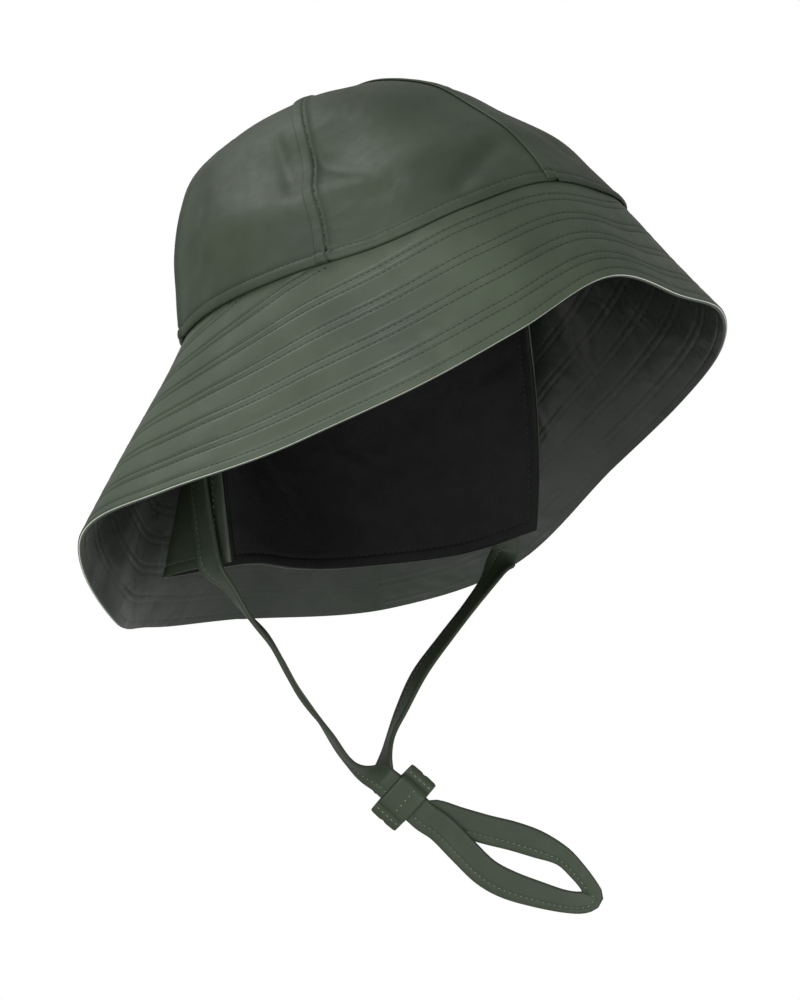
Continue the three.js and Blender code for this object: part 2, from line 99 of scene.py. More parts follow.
# Crown levels from hem to top: rise as a share of CROWN_HEIGHT, reach of the seam's half sizes, back of
# SEAM_HALF_DEPTH, turn in degrees that the gore seams wander
CROWN_LEVELS = [
    dict(at=0, rise=0, reach=1, back=0, turn=0),
    dict(at=1, rise=0.208, reach=0.946, back=0.05, turn=2.5),
    dict(at=2, rise=0.425, reach=0.887, back=0.09, turn=3),
    dict(at=3, rise=0.642, reach=0.76, back=0.166, turn=6.5),
    dict(at=4, rise=0.817, reach=0.61, back=0.204, turn=7.5),
    dict(at=5, rise=0.955, reach=0.347, back=0.18, turn=3),
    dict(at=6, rise=1, reach=0.016, back=0.1, turn=0),
]

# Height of the first level
LEVEL_RISE = CROWN_HEIGHT * CROWN_LEVELS[1]["rise"]

# Soft dents: bearing and spread in degrees, level and tall in levels, deep as a share of DENT_DEPTH
CROWN_DENTS = [
    dict(bearing=-50, spread=13, level=2.6, tall=0.5, deep=1),
    dict(bearing=-33, spread=16, level=2.2, tall=0.45, deep=0.45),
    dict(bearing=-72, spread=12, level=3.0, tall=0.8, deep=0.55),
    dict(bearing=-8, spread=12, level=2.4, tall=0.7, deep=0.55),
    dict(bearing=-118, spread=14, level=2.0, tall=0.9, deep=0.35),
    dict(bearing=35, spread=18, level=2.5, tall=0.7, deep=0.5),
    dict(bearing=100, spread=20, level=2.8, tall=0.7, deep=0.6),
    dict(bearing=168, spread=16, level=2.2, tall=0.6, deep=0.4),
]

# Flap from the left ear round the back to the right ear: bearings of the sewn edge and the hem, depth as a
# share of FLAP_DEPTH, flare of FLAP_FLARE
FLAP_SECTIONS = [
    dict(at=0, top=103, foot=127.5, depth=1.04, flare=1.85),
    dict(at=0.2, top=134, foot=145.5, depth=1.053, flare=1.08),
    dict(at=0.4, top=162.6, foot=168.8, depth=1.0, flare=1.0),
    dict(at=0.6, top=190.4, foot=192.1, depth=0.96, flare=0.65),
    dict(at=0.75, top=211.3, foot=208, depth=0.91, flare=0.85),
    dict(at=0.86, top=225.5, foot=221.6, depth=0.885, flare=2.1),
    dict(at=0.94, top=235, foot=232, depth=0.905, flare=1.35),
    dict(at=1, top=242, foot=240.3, depth=0.93, flare=0.65),
]

# Where each arm of the strap lies on the flap, as shares of the way round it
RIGHT_ARM_ON_FLAP = dict(seam=0.92, hem=0.977)
LEFT_ARM_ON_FLAP = dict(seam=0.07, hem=0.074)
ARM_DROPS = [0.02, 0.12, 0.25, 0.4, 0.55, 0.7, 0.85, 1]

# The free arms: shares of SEAM_HALF_WIDTH, SEAM_HALF_DEPTH and STRAP_DROP. turn: degrees of the band's
# width about its run, from the tail's front
RIGHT_ARM = [
    dict(across=-0.935, back=0.594, down=0.506, turn=-24),
    dict(across=-0.861, back=0.613, down=0.570, turn=-9),
    dict(across=-0.760, back=0.651, down=0.625, turn=-3),
    dict(across=-0.659, back=0.730, down=0.684, turn=-3),
    dict(across=-0.560, back=0.809, down=0.740, turn=-3),
    dict(across=-0.403, back=0.906, down=0.816, turn=-11),
    dict(across=-0.249, back=1.006, down=0.895, turn=-17),
]
LEFT_ARM = [
    dict(across=0.943, back=0.918, down=0.543, turn=-72),
    dict(across=0.806, back=0.881, down=0.583, turn=-148),
    dict(across=0.655, back=0.913, down=0.633, turn=-163),
    dict(across=0.471, back=0.957, down=0.692, turn=-163),
    dict(across=0.299, back=1.007, down=0.752, turn=-159),
    dict(across=0.165, back=1.044, down=0.817, turn=-164),
    dict(across=0.058, back=1.073, down=0.877, turn=-172),
]

# The tail loop in its own plane: out and aside as shares of TAIL_LENGTH, turn of the band's width in
# degrees, wide as a share of its width, layer 1 in front and -1 behind
TAIL_LOOP = [
    dict(out=0.194, aside=0.157, turn=56, wide=1, layer=1),
    dict(out=0.31, aside=0.276, turn=50, wide=1, layer=1),
    dict(out=0.421, aside=0.384, turn=66, wide=1, layer=1),
    dict(out=0.537, aside=0.449, turn=80, wide=1, layer=1),
    dict(out=0.698, aside=0.503, turn=83, wide=0.9, layer=1),
    dict(out=0.834, aside=0.538, turn=88, wide=0.78, layer=1),
    dict(out=0.93, aside=0.544, turn=108, wide=0.76, layer=0.6),
    dict(out=0.974, aside=0.518, turn=134, wide=0.76, layer=0.2),
    dict(out=0.96, aside=0.468, turn=172, wide=0.6, layer=-0.4),
    dict(out=0.899, aside=0.388, turn=220, wide=0.62, layer=-0.8),
    dict(out=0.817, aside=0.307, turn=244, wide=0.7, layer=-1),
    dict(out=0.692, aside=0.247, turn=252, wide=0.94, layer=-1),
    dict(out=0.562, aside=0.203, turn=255, wide=1, layer=-1),
    dict(out=0.429, aside=0.17, turn=256, wide=1, layer=-1),
    dict(out=0.281, aside=0.127, turn=250, wide=1, layer=-1),
    dict(out=0.165, aside=0.09, turn=242, wide=1, layer=-1),
]

# The keeper's centre, as shares like those of the arms, and the stations of the band in it, as shares of
# KEEPER_ALONG
KEEPER_AT = dict(across=0.01, back=1.026, down=1)
KEEPER_SHARES = [-0.9, -0.6, 0, 0.6, 0.9]

# How the tail's plane lies and how the keeper turns in it, in degrees
TAIL_AZIMUTH = -39.7
TAIL_ELEVATION = -11
TAIL_ROLL = -16.8
KEEPER_TURN = 42

UP = np.array([0.0, 0.0, 1.0])


def unit(v):
    return v / np.maximum(np.linalg.norm(v, axis=-1, keepdims=True), 1e-12)


def spline(at, value, x):
    """Smooth curve through the points (at, value), with chords at its two ends."""
    last = len(at) - 1
    i = np.clip(np.searchsorted(at, x, side="right") - 1, 0, last - 1)
    before, after = np.maximum(i - 1, 0), np.minimum(i + 2, last)
    span = at[i + 1] - at[i]
    t = (x - at[i]) / span
    slope_a = (value[i + 1] - value[before]) / (at[i + 1] - at[before]) * span
    slope_b = (value[after] - value[i]) / (at[after] - at[i]) * span
    a, b = value[i], value[i + 1]
    return (
        (2 * t**3 - 3 * t**2 + 1) * a
        + (t**3 - 2 * t**2 + t) * slope_a
        + (3 * t**2 - 2 * t**3) * b
        + (t**3 - t**2) * slope_b
    )


def along(rows, key, x, period=0):
    """Value of a table's column at x."""
    at = np.array([row["at"] for row in rows], float)
    value = np.array([row[key] for row in rows], float)
    x = np.asarray(x, float)
    if period:
        x = (x - at[0]) % period + at[0]
        at = np.concatenate([at[-2:] - period, at, at[:3] + period])
        value = np.concatenate([value[-2:], value, value[:3]])
    return spline(at, value, x)


def smooth(x):
    """Soft step from 0 to 1."""
    x = np.clip(x, 0, 1)
    return x * x * (3 - 2 * x)


def outward(bearing):
    """Level direction square to the oval seam."""
    t = np.radians(bearing)
    return unit(np.stack([SEAM_HALF_DEPTH * np.sin(t), -SEAM_HALF_WIDTH * np.cos(t), 0 * t], -1))


def seam_point(bearing):
    """Point of the wavy oval seam between crown and brim."""
    t = np.radians(bearing)
    lift = SEAM_WAVE * along(BRIM_SECTIONS, "lift", bearing, 360)
    return np.stack([SEAM_HALF_WIDTH * np.sin(t), -SEAM_HALF_DEPTH * np.cos(t), lift], -1)


def wrapped(bearing):
    """The bearing as an angle from -180 to 180."""
    return (bearing + 180) % 360 - 180


def dent_at(bearing, level):
    """Depth of the crown's soft dents."""
    depth = 0
    for dent in CROWN_DENTS:
        a = wrapped(bearing - dent["bearing"]) / dent["spread"]
        b = (level - dent["level"]) / dent["tall"]
        depth = depth + DENT_DEPTH * dent["deep"] * np.exp(-(a * a + b * b) / 2)
    return depth


def crown_base(bearing, level):
    """Point of the crown's inner face before its dents."""
    rise = along(CROWN_LEVELS, "rise", level)
    reach = along(CROWN_LEVELS, "reach", level)
    back = along(CROWN_LEVELS, "back", level)
    seam = seam_point(bearing)
    x = seam[..., 0] * reach
    y = seam[..., 1] * reach + back * SEAM_HALF_DEPTH
    z = seam[..., 2] * (1 - rise) + CROWN_HEIGHT * rise
    return np.stack([x, y, z], -1)


def crown_normal(bearing, level):
    """Outward direction of the crown's plain form."""
    step = 0.05
    low, high = np.maximum(level - step, 0), np.minimum(level + step, CROWN_LEVELS[-1]["at"])
    around = crown_base(bearing + 1, level) - crown_base(bearing - 1, level)
    rise = crown_base(bearing, high) - crown_base(bearing, low)
    return unit(np.cross(around, rise))


def crown_point(bearing, level, out):
    """Point at a distance outside the crown's inner face."""
    bearing, level = np.broadcast_arrays(np.asarray(bearing, float), np.asarray(level, float))
    away = np.asarray(out - dent_at(bearing, level))[..., None]
    return crown_base(bearing, level) + crown_normal(bearing, level) * away


def flap_point(across, drop, out=0):
    """Point at a share of the way round the flap and a share of its drop."""
    across, drop = np.broadcast_arrays(np.asarray(across, float), np.asarray(drop, float))
    top = along(FLAP_SECTIONS, "top", across)
    foot = along(FLAP_SECTIONS, "foot", across)
    bearing = top + (foot - top) * drop
    depth = FLAP_DEPTH * along(FLAP_SECTIONS, "depth", across)
    flare = FLAP_FLARE * along(FLAP_SECTIONS, "flare", across)
    away = out - FLAP_INSET + flare * np.maximum(drop, 0) ** FLAP_CURVE
    point = seam_point(bearing) + outward(bearing) * np.asarray(away)[..., None]
    return point - UP * (FLAP_START + (depth - FLAP_START) * drop)[..., None]


def tail_axes():
    """Right, down and front of the tail's plane."""
    azimuth, elevation, roll = np.radians([TAIL_AZIMUTH, TAIL_ELEVATION, TAIL_ROLL])
    front = np.array(
        [np.sin(azimuth) * np.cos(elevation), -np.cos(azimuth) * np.cos(elevation), np.sin(elevation)]
    )
    level = np.array([np.cos(azimuth), np.sin(azimuth), 0])
    rise = np.cross(front, level)
    right = level * np.cos(roll) + rise * np.sin(roll)
    down = level * np.sin(roll) - rise * np.cos(roll)
    return right, down, front


TAIL_RIGHT, TAIL_DOWN, TAIL_FRONT = tail_axes()
LAYER = STRAP_WALL / 2 + GAP


def at_shares(row):
    """Point given as shares of SEAM_HALF_WIDTH, SEAM_HALF_DEPTH and STRAP_DROP."""
    sizes = np.array([SEAM_HALF_WIDTH, SEAM_HALF_DEPTH, -STRAP_DROP])
    return np.array([row["across"], row["back"], row["down"]]) * sizes


def in_tail(out, aside):
    """Vector in the tail's plane."""
    return TAIL_RIGHT * out + TAIL_DOWN * aside


KEEPER_CENTRE = at_shares(KEEPER_AT)
KEEPER_RUN = in_tail(np.cos(np.radians(KEEPER_TURN)), np.sin(np.radians(KEEPER_TURN)))
KEEPER_EDGE = in_tail(np.sin(np.radians(KEEPER_TURN)), -np.cos(np.radians(KEEPER_TURN)))


def strap_stations():
    """Middle, edge direction and width share of the strap, from the right ear to the left."""

    def on_flap(arm, drop):
        across = arm["seam"] + (arm["hem"] - arm["seam"]) * drop
        step = 0.02
        around = unit(flap_point(across + step, drop) - flap_point(across - step, drop))
        fall = flap_point(across, drop + step) - flap_point(across, drop - step)
        normal = unit(np.cross(fall, around))
        stand_off = GAP + 2 * STRAP_SAGITTA + STRAP_WALL / 2
        return flap_point(across, drop) + normal * stand_off, around, 1

    def free(row):
        return at_shares(row), row["turn"], 1

    def in_keeper(share, layer):
        point = KEEPER_CENTRE + KEEPER_RUN * share * KEEPER_ALONG + TAIL_FRONT * layer * LAYER
        return point, KEEPER_EDGE * layer, 1

    def in_loop(row):
        point = KEEPER_CENTRE + in_tail(row["out"], row["aside"]) * TAIL_LENGTH
        turn = np.radians(row["turn"])
        edge = in_tail(np.cos(turn), -np.sin(turn))
        return point + TAIL_FRONT * row["layer"] * LAYER, edge, row["wide"]

    stations = (
        [on_flap(RIGHT_ARM_ON_FLAP, drop) for drop in ARM_DROPS]
        + [free(row) for row in RIGHT_ARM]
        + [in_keeper(share, 1) for share in KEEPER_SHARES]
        + [in_loop(row) for row in TAIL_LOOP]
        + [in_keeper(share, -1) for share in KEEPER_SHARES[::-1]]
        + [free(row) for row in LEFT_ARM[::-1]]
        + [on_flap(LEFT_ARM_ON_FLAP, drop) for drop in ARM_DROPS[::-1]]
    )

    def turned(i):
        """Station with its edge as a direction, where the table gives it as degrees about the run."""
        point, edge, wide = stations[i]
        if not np.isscalar(edge):
            return stations[i]
        run = unit(stations[i + 1][0] - stations[i - 1][0])
        front = unit(TAIL_FRONT - run * (TAIL_FRONT @ run))
        turn = np.radians(edge)
        return point, front * np.cos(turn) + np.cross(run, front) * np.sin(turn), wide

    return [turned(i) for i in range(len(stations))]


def strap_frames(step):
    """Middles, edges, faces and widths of the strap at even steps along it."""
    stations = strap_stations()
    points = np.array([s[0] for s in stations])
    edges = np.array([s[1] for s in stations])
    wides = np.array([s[2] for s in stations], float)
    # centripetal parameter, as the solid band's curve has
    reach = np.linalg.norm(np.diff(points, axis=0), axis=1)
    knots = np.concatenate([[0], np.cumsum(np.sqrt(reach))])
    place = np.arange(len(points), dtype=float)
    dense = np.linspace(0, knots[-1], 4000)
    path = np.stack([spline(knots, points[:, k], dense) for k in range(3)], -1)
    run = np.concatenate([[0], np.cumsum(np.linalg.norm(np.diff(path, axis=0), axis=1))])
    count = int(round(run[-1] / step))
    even = np.interp(np.linspace(0, run[-1], count + 1), run, dense)
    middle = np.stack([spline(knots, points[:, k], even) for k in range(3)], -1)
    at = np.interp(even, knots, place)
    edge = np.stack([spline(place, edges[:, k], at) for k in range(3)], -1)
    tangent = unit(np.gradient(middle, axis=0))
    edge = unit(edge - tangent * (edge * tangent).sum(-1, keepdims=True))
    face = unit(np.cross(edge, tangent))
    return middle, edge, face, spline(place, wides, at), run[-1]


MILLIMETRE = 0.001

# Sizes of the visible detail, in millimetres. Stitches:
STITCH_PITCH = 2.4
STITCH_LENGTH = 1.5
STITCH_WIDTH = 0.3
ROW_STITCH_LENGTH = 2.1
ROW_STITCH_WIDTH = 0.66
STRAP_STITCH_WIDTH = 0.38
GROOVE_DEPTH = 0.65
GROOVE_WIDTH = 0.4

# Crown: the lapped edge's rise over the next gore, the stitch lines beside the lap and above the hem
LAP_RISE = 0.85
LAP_STITCH = 4.5
HEM_STITCH = 4.0

# Brim: the line beside the rim, the welt between twin lines, the cloth's swell between rows
EDGE_LINE = EDGE_STITCH - 0.9
WELT_RISE = 0.1
PUFF_RISE = 0.05
ROW_COUNT = 10

# Share of the brim's relief that shows on its under face
UNDER_RELIEF = 0.16

# Flap: its stitch line's distance from the free edges, its width from ear to ear, and its folds
FLAP_HEM_STITCH = 4.5
FLAP_ROUND = 215
FOLD_DEPTH = 1.5

# Strap: step along its mesh, its groove, its stitch line as a share of the half width, its waviness
STRAP_STEP = 1.6
STRAP_GROOVE = 0.3
SEAM_SHARE = 0.45
STRAP_SWAY = 0.22


def srgb(red, green, blue):
    """Linear colour of an sRGB colour given from 0 to 255."""
    c = np.array([red, green, blue]) / 255
    linear = np.where(c <= 0.04045, c / 12.92, ((c + 0.055) / 1.055) ** 2.4)
    return (*(float(x) for x in linear), 1.0)


def mesh_object(name, points, faces, materials, zones=None):
    """Smooth-shaded object from points in millimetres and a list of faces."""
    points = np.asarray(points, float) * MILLIMETRE
    mesh = bpy.data.meshes.new(name)
    mesh.from_pydata(points.tolist(), [], faces.tolist() if isinstance(faces, np.ndarray) else faces)
    for material in materials:
        mesh.materials.append(material)
    if zones is not None:
        mesh.polygons.foreach_set("material_index", np.asarray(zones, dtype=np.int32))
    mesh.polygons.foreach_set("use_smooth", np.ones(len(mesh.polygons), dtype=bool))
    mesh.update()
    obj = bpy.data.objects.new(name, mesh)
    bpy.context.collection.objects.link(obj)
    return obj


def grid_faces(rows, columns, first=0, ring=False):
    """Quads of a grid of points that run row by row."""
    i, j = np.meshgrid(np.arange(rows - 1), np.arange(columns if ring else columns - 1), indexing="ij")
    k = (j + 1) % columns
    at = first + i * columns
    return np.stack([at + j, at + k, at + columns + k, at + columns + j], -1).reshape(-1, 4)


def tube_faces(rows, columns):
    """Quads of a grid that closes on itself both ways."""
    j = np.arange(columns)
    k = (j + 1) % columns
    last = (rows - 1) * columns
    close = np.stack([last + j, last + k, k, j], -1)
    return np.concatenate([grid_faces(rows, columns, ring=True), close])


def closed_shell(outer, inner):
    """Points, faces and zones of a wall between two grids with the same rows and columns.

    The zone is 1 on the inner face and 0 elsewhere.
    """
    rows, columns = outer.shape[:2]
    count = rows * columns
    points = np.concatenate([outer.reshape(-1, 3), inner.reshape(-1, 3)])
    out_faces = grid_faces(rows, columns)
    in_faces = grid_faces(rows, columns, count)[:, ::-1]
    grid = np.arange(count).reshape(rows, columns)
    border = np.concatenate([grid[0, :], grid[1:, -1], grid[-1, -2::-1], grid[-2:0:-1, 0]])
    ahead = np.roll(border, -1)
    edge_faces = np.stack([ahead, border, border + count, ahead + count], -1)
    zones = np.concatenate([np.zeros(len(out_faces)), np.ones(len(in_faces)), np.zeros(len(edge_faces))])
    return points, np.concatenate([out_faces, in_faces, edge_faces]), zones


def groove(distance, width=GROOVE_WIDTH):
    """Share of a stitched groove's depth at a distance from its line."""
    return np.exp(-((distance / width) ** 2))


def ripple(u, v, seed, terms=9, low=1.0, high=5.0):
    """Soft wandering relief from -1 to 1 or so, from waves with fixed random directions."""
    chance = np.random.default_rng(seed)
    total = 0 * (u + v)
    for _ in range(terms):
        angle, phase = chance.uniform(0, 2 * np.pi, 2)
        pitch = chance.uniform(low, high)
        total = total + np.sin(pitch * (u * np.cos(angle) + v * np.sin(angle)) + phase)
    return total / terms * 1.6


def crease(u, v, a, b, width, fade=0.25):
    """Share of a straight crease from a to b in the (u, v) plane, 1 on its line and 0 away from it."""
    a, b = np.array(a, float), np.array(b, float)
    run = b - a
    size = run @ run
    share = ((u - a[0]) * run[0] + (v - a[1]) * run[1]) / size
    off = ((u - a[0]) * run[1] - (v - a[1]) * run[0]) / np.sqrt(size)
    ends = smooth(share / fade) * smooth((1 - share) / fade)
    return np.exp(-((off / width) ** 2)) * ends


def stitch_points(paths, normals):
    """Places, directions and normals of the stitches along one line."""
    run = np.concatenate([[0], np.cumsum(np.linalg.norm(np.diff(paths, axis=0), axis=1))])
    count = int(run[-1] / STITCH_PITCH)
    if count < 2:
        return np.zeros((0, 3)), np.zeros((0, 3)), np.zeros((0, 3))
    at = (np.arange(count) + 0.5) * run[-1] / count
    place = np.stack([np.interp(at, run, paths[:, k]) for k in range(3)], -1)
    step = 0.4
    ahead = np.stack([np.interp(np.minimum(at + step, run[-1]), run, paths[:, k]) for k in range(3)], -1)
    behind = np.stack([np.interp(np.maximum(at - step, 0), run, paths[:, k]) for k in range(3)], -1)
    normal = np.stack([np.interp(at, run, normals[:, k]) for k in range(3)], -1)
    return place, unit(ahead - behind), unit(normal)


def stitch_object(name, lines, material, width=STITCH_WIDTH, length=STITCH_LENGTH):
    """One piece of thread stitches, each a small pointed bead, along lines of (points, normals)."""
    found = [stitch_points(*line) for line in lines]
    place, run, normal = (np.concatenate([f[k] for f in found]) for k in range(3))
    side = unit(np.cross(normal, run))
    half, thick, sunk = width / 2, width * 0.6, 0.1
    ring = [
        place - run * length / 2 - normal * sunk,
        place + side * half,
        place + normal * thick,
        place - side * half,
        place - normal * thick,
        place + run * length / 2 - normal * sunk,
    ]
    points = np.stack(ring, 1).reshape(-1, 3)
    bead = np.array([(0, 2, 1), (0, 3, 2), (0, 4, 3), (0, 1, 4), (5, 1, 2), (5, 2, 3), (5, 3, 4), (5, 4, 1)])
    faces = (np.arange(len(place))[:, None, None] * len(ring) + bead).reshape(-1, 3)
    return mesh_object(name, points, faces, [material])


# Sizes of the cloth's unevenness, in repeats per metre
PATCH_SCALE = 22
WRINKLE_SCALE = 38
SCUFF_SCALE = 140
WEAVE_SCALE = 420
GRAIN_SCALE = 1500


def cloth_material(name, colour, roughness, grain, vary=0.12, weave=False, wrinkle=0.5, gloss=0.5, fade=None):
    """Coated cloth: slightly uneven colour and gloss, a fine grain, and small soft wrinkles.

    fade gives two heights in metres and the share of the colour at each: painted shade and painted light that
    change with height.
    """
    material = bpy.data.materials.new(name)
    material.use_nodes = True
    nodes, links = material.node_tree.nodes, material.node_tree.links
    shader = nodes["Principled BSDF"]
    shader.inputs["Specular IOR Level"].default_value = gloss
    shader.inputs["IOR"].default_value = 1.48
    place = nodes.new("ShaderNodeTexCoord")

    def noise(scale, detail, rough=0.5, distortion=0.0):
        found = nodes.new("ShaderNodeTexNoise")
        found.inputs["Scale"].default_value = scale
        found.inputs["Detail"].default_value = detail
        found.inputs["Roughness"].default_value = rough
        found.inputs["Distortion"].default_value = distortion
        links.new(place.outputs["Object"], found.inputs["Vector"])
        return found

    def spread(source, low, high, start=0.3, end=0.7):
        found = nodes.new("ShaderNodeMapRange")
        found.inputs["From Min"].default_value = start
        found.inputs["From Max"].default_value = end
        found.inputs["To Min"].default_value = low
        found.inputs["To Max"].default_value = high
        links.new(source, found.inputs["Value"])
        return found.outputs["Result"]

    def bump(source, strength, distance):
        found = nodes.new("ShaderNodeBump")
        found.inputs["Strength"].default_value = strength
        found.inputs["Distance"].default_value = distance
        links.new(source, found.inputs["Height"])
        return found

    patches = noise(PATCH_SCALE, 3, 0.6, 0.4)
    tint = nodes.new("ShaderNodeMix")
    tint.data_type = "RGBA"
    dark = tuple(c * (1 - vary) for c in colour[:3]) + (1.0,)
    light = tuple(min(1.0, c * (1 + vary)) for c in colour[:3]) + (1.0,)
    tint.inputs["A"].default_value = dark
    tint.inputs["B"].default_value = light
    links.new(spread(patches.outputs["Fac"], 0, 1), tint.inputs["Factor"])
    shown = tint.outputs["Result"]
    # painted shade and painted light by height: the colour is multiplied by a share that runs between the two
    # heights
    if fade:
        split = nodes.new("ShaderNodeSeparateXYZ")
        links.new(place.outputs["Object"], split.inputs["Vector"])
        share = spread(split.outputs["Z"], fade["low_share"], fade["high_share"], fade["low"], fade["high"])
        painted_shade_mix = nodes.new("ShaderNodeMix")
        painted_shade_mix.data_type = "RGBA"
        painted_shade_mix.blend_type = "MULTIPLY"
        painted_shade_mix.inputs["Factor"].default_value = 1
        links.new(shown, painted_shade_mix.inputs["A"])
        links.new(share, painted_shade_mix.inputs["B"])
        shown = painted_shade_mix.outputs["Result"]
    links.new(shown, shader.inputs["Base Color"])
    scuffs = noise(SCUFF_SCALE, 4, 0.7)
    links.new(spread(scuffs.outputs["Fac"], roughness - 0.05, roughness + 0.07), shader.inputs["Roughness"])

    if weave:
        both = nodes.new("ShaderNodeMath")
        both.operation = "MAXIMUM"
        for number, axis in enumerate(("X", "Z")):
            wave = nodes.new("ShaderNodeTexWave")
            wave.wave_type = "BANDS"
            wave.bands_direction = axis
            wave.inputs["Scale"].default_value = WEAVE_SCALE
            wave.inputs["Distortion"].default_value = 0.6
            links.new(place.outputs["Object"], wave.inputs["Vector"])
            links.new(wave.outputs["Fac"], both.inputs[number])
        height = both.outputs["Value"]
    else:
        height = noise(GRAIN_SCALE, 2, 0.5).outputs["Fac"]
    fine = bump(height, grain, 0.0002)
    soft = bump(noise(WRINKLE_SCALE, 2, 0.45, 0.6).outputs["Fac"], wrinkle, 0.003)
    links.new(soft.outputs["Normal"], fine.inputs["Normal"])
    links.new(fine.outputs["Normal"], shader.inputs["Normal"])
    return material


# Cloth, thread and a pale band along the brim's rim
crown_cloth = cloth_material("crown_cloth", srgb(56, 66, 51), 0.53, 0.25, vary=0.22, wrinkle=0.4, gloss=0.34)
brim_cloth = cloth_material("brim_cloth", srgb(66, 77, 61), 0.45, 0.25, vary=0.2, wrinkle=0.3, gloss=0.42)
# The brim's under face is the top's green cloth painted darker as shade, with more painted shade towards the
# crown and painted light low down by the rim
inside_shade_by_height = dict(low=-0.105, high=-0.04, low_share=1.45, high_share=0.38)
brim_inside_painted_shade = cloth_material(
    "brim_inside_painted_shade", srgb(42, 48, 41), 0.32, 0.2, vary=0.2, wrinkle=0.6, fade=inside_shade_by_height
)
flap_cloth = cloth_material("flap_cloth", srgb(58, 67, 53), 0.42, 0.25)
strap_cloth = cloth_material("strap_cloth", srgb(53, 63, 47), 0.45, 0.3, vary=0.15, wrinkle=0.3, gloss=0.4)
lining_cloth = cloth_material(
    "lining_cloth", srgb(11, 12, 12), 0.55, 0.6, vary=0.25, weave=True, wrinkle=0.8, gloss=0.2
)
thread = cloth_material("thread", srgb(128, 138, 122), 0.6, 0.3, vary=0.15)
# Thread of the brim's rows, dark as painted shade of the stitched grooves
row_thread_painted_shade = cloth_material("row_thread_painted_shade", srgb(24, 31, 23), 0.6, 0.3, vary=0.15)
strap_thread = cloth_material("strap_thread", srgb(160, 168, 150), 0.6, 0.3, vary=0.15)
dark_thread = cloth_material("dark_thread", srgb(48, 52, 46), 0.6, 0.3, vary=0.15)
pale_rim_band = cloth_material("pale_rim_band", srgb(205, 210, 200), 0.8, 0.5, vary=0.1)


# Crown: six gores, each lapped over the one before it and topstitched beside the fold

# Creases of each gore seen in the cloth, as (bearing, level) of both ends, width in degrees and depth
CROWN_CREASES = [
    dict(start=(-59.5, 3.9), end=(-60.5, 1.5), width=2.4, deep=1.3),
    dict(start=(-89.5, 3.0), end=(-99, 0.9), width=2.6, deep=0.9),
    dict(start=(-89.5, 1.3), end=(-96, 0.4), width=2.2, deep=0.6),
    dict(start=(-51, 3.0), end=(-42, 1.95), width=2.4, deep=1.3),
    dict(start=(-45, 2.3), end=(-31, 1.1), width=2.6, deep=1.1),
    dict(start=(-52, 1.55), end=(-35, 1.0), width=2.2, deep=0.7),
    dict(start=(2, 1.6), end=(-27, 0.35), width=2.8, deep=1.6),
    dict(start=(-50, 0.42), end=(-43, 0.1), width=2.0, deep=0.6),
    dict(start=(12, 2.4), end=(26, 1.0), width=3.4, deep=0.8),
    dict(start=(70, 3.0), end=(96, 1.2), width=5.0, deep=1.4),
    dict(start=(128, 2.6), end=(112, 0.9), width=4.0, deep=1.2),
    dict(start=(165, 3.2), end=(182, 1.3), width=4.5, deep=1.4),
    dict(start=(-150, 2.8), end=(-134, 1.0), width=4.0, deep=1.3),
]
# Degrees of bearing about as long as one level
LEVEL_DEGREES = 11.5


def crown_relief(bearing, level):
    """Height of the crown's fine waves and creases."""
    relief = 0.35 * ripple(np.radians(wrapped(bearing)) * 2.2, level * 0.55, 3, low=1.0, high=4.5)
    for fold in CROWN_CREASES:
        a = (fold["start"][0], fold["start"][1] * LEVEL_DEGREES)
        b = (fold["end"][0], fold["end"][1] * LEVEL_DEGREES)
        middle = (a[0] + b[0]) / 2
        near = wrapped(bearing - middle) + middle
        relief = relief - fold["deep"] * crease(near, level * LEVEL_DEGREES, a, b, fold["width"])
    return relief * smooth(level / 0.4) * smooth((5.8 - level) / 0.8)


